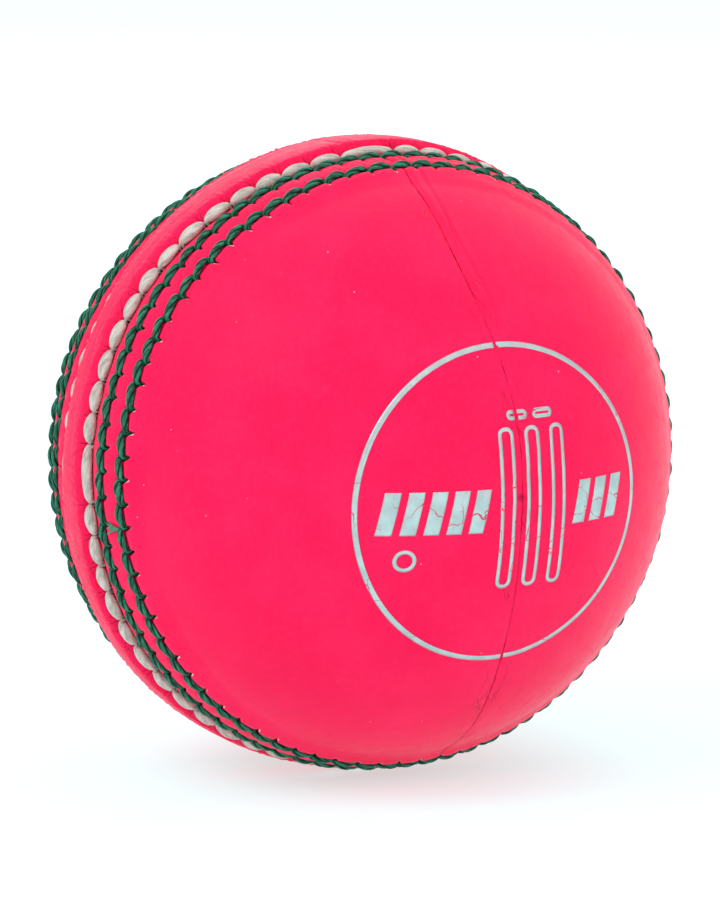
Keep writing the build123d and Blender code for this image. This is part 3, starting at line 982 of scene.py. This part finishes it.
def foil_stamp(material):
    """The ring, the wicket in outline, the slanting bars and the spot, each a thin pressed film."""
    parts = []
    turn = np.radians(np.linspace(0, 360, 601))
    ring = np.stack([RING[0] * np.cos(turn), RING[0] * np.sin(turn)], -1)
    parts.append(foil_ribbon(ring, RING[1], (0, 0)))
    spot = np.stack([np.cos(turn[::15]), np.sin(turn[::15])], -1) * SPOT[2]
    parts.append(foil_ribbon(spot, OUTLINE, SPOT[:2]))
    for column in (-1, 0, 1):
        loop = rounded_loop(STUMP[0], STUMP[1], STUMP[0] * 0.45)
        parts.append(foil_ribbon(loop, OUTLINE, (WICKET_MIDDLE + column * STUMP[2], 0)))
    level = STUMP[1] / 2 + BAIL[2] + BAIL[1] / 2
    for side in (-1, 1):
        loop = rounded_loop(BAIL[0], BAIL[1], BAIL[1] * 0.45)
        parts.append(foil_ribbon(loop, OUTLINE, (WICKET_MIDDLE + side * STUMP[2] / 2, level)))
        first = STUMP[2] + STUMP[0] / 2 + BAR_MARGIN + BAR[0] / 2
        for n in range(BARS[side]):
            parts.append(foil_bar(WICKET_MIDDLE + side * (first + n * (BAR[0] + BAR[2]))))
    bm = bmesh.new()
    for mesh, spots in parts:
        points, joint = pressed(spots)
        lay(mesh, points, None, {"joint": joint})
        bm.from_mesh(mesh)
        bpy.data.meshes.remove(mesh)
    bmesh.ops.remove_doubles(bm, verts=bm.verts, dist=1.5e-6)
    joint = bm.verts.layers.float["joint"]
    cut = [face for face in bm.faces if min(abs(vert[joint]) for vert in face.verts) < 0.1]
    bmesh.ops.delete(bm, geom=cut, context="FACES")
    for face in bm.faces:
        if face.normal.x < 0:
            face.normal_flip()
    whole = bpy.data.meshes.new("foil_stamp")
    bm.to_mesh(whole)
    bm.free()
    thing = piece("foil_stamp", whole, material, "foil", "foil_stamp")
    film = thing.modifiers.new("film", "SOLIDIFY")
    film.thickness = 0.025 * MM
    film.offset = -1
    return thing


leather = cover_leather()
for node, side, half in (
    ("right_cup_front_quarter", 1, -1), ("right_cup_back_quarter", 1, 1),
    ("left_cup_upper_quarter", -1, 1), ("left_cup_lower_quarter", -1, -1),
):
    leather_quarter(node, side, half, leather)
green = row_thread_finish()
for side in (1, -1):
    for place in ("inner", "outer"):
        row_thread(side, place, green)
natural = closing_thread_finish()
closing_thread("closing_thread_first_pass", 1, natural)
closing_thread("closing_thread_second_pass", -1, natural)
foil_stamp(foil_finish())

# ---- the inside keeps its CAD shapes ----
INSIDE = {
    "cork": (cork_finish(), ["cork_nucleus"] + [f"cork_wafers_{n}" for n in range(1, 5)]),
    "yarn": (yarn_finish(), [f"yarn_winding_{n}" for n in range(1, 6)]),
    "lining_leather": (lining_finish(), ["right_cup_lining", "left_cup_lining"]),
    "hidden_thread": (hidden_thread_finish(), ["right_cup_quarter_thread", "left_cup_quarter_thread"]),
}
for material, nodes in INSIDE.values():
    for node in nodes:
        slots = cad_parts[node].material_slots
        for slot in slots:
            slot.material = material


# ---- floor, light and camera ----
# name, place, size, power
LIGHTS = (
    ("key", (0.15, -0.95, 0.95), (0.8, 0.6), 4.0),
    ("fill", (1.3, 0.1, 0.45), (0.8, 1.0), 0.8),
    ("top", (0.1, 0.1, 1.3), (2.4, 2.4), 5.0),
    ("rim", (-0.9, 0.2, 0.55), (0.5, 0.9), 1.0),
)


def studio():
    scene = bpy.context.scene
    bm = bmesh.new()
    bmesh.ops.create_circle(bm, cap_ends=True, segments=96, radius=4.0)
    bmesh.ops.translate(bm, verts=bm.verts, vec=(0, 0, -RIDGE * MM))
    mesh = bpy.data.meshes.new("floor")
    bm.to_mesh(mesh)
    bm.free()
    floor = bpy.data.objects.new("floor", mesh)
    scene.collection.objects.link(floor)
    f = Finish("floor")
    # a light table: it glows a little itself, so that the shadow stays small and soft
    mesh.materials.append(f.set(
        Base_Color=(0.36, 0.6, 0.6), Roughness=0.8, Specular_IOR_Level=0.0,
        Emission_Color=(1.0, 1.0, 1.0), Emission_Strength=0.56,
    ))
    world = bpy.data.worlds.new("studio")
    world.use_nodes = True
    world.node_tree.nodes["Background"].inputs[0].default_value = (1, 1, 1, 1)
    world.node_tree.nodes["Background"].inputs[1].default_value = 1.0
    scene.world = world
    for name, place, size, power in LIGHTS:
        light = bpy.data.lights.new(name, "AREA")
        light.shape = "RECTANGLE"
        light.size, light.size_y = size
        light.energy = power
        lamp = bpy.data.objects.new(name, light)
        lamp.location = place
        lamp.rotation_euler = (-Vector(place)).to_track_quat("-Z", "Y").to_euler()
        scene.collection.objects.link(lamp)
    scene.view_settings.view_transform = "Standard"


AZIMUTH, ELEVATION, DISTANCE = 65.6, 8.8, 0.6
AIM_UP, AIM_LEFT = 0.53, 0.31


def camera():
    azimuth, elevation = np.radians(AZIMUTH), np.radians(ELEVATION)
    level = np.cos(elevation)
    away = Vector((np.sin(azimuth) * level, -np.cos(azimuth) * level, np.sin(elevation)))
    right = away.cross(Vector((0, 0, -1))).normalized()
    up = right.cross(-away).normalized()
    eye = bpy.data.cameras.new("camera")
    eye.lens = 207.4
    eye.sensor_width = 36
    eye.clip_start = 0.01
    thing = bpy.data.objects.new("camera", eye)
    thing.location = away * DISTANCE
    aim = (up * AIM_UP - right * AIM_LEFT) * MM
    thing.rotation_euler = (aim - thing.location).to_track_quat("-Z", "Y").to_euler()
    bpy.context.scene.collection.objects.link(thing)
    bpy.context.scene.camera = thing


studio()
camera()
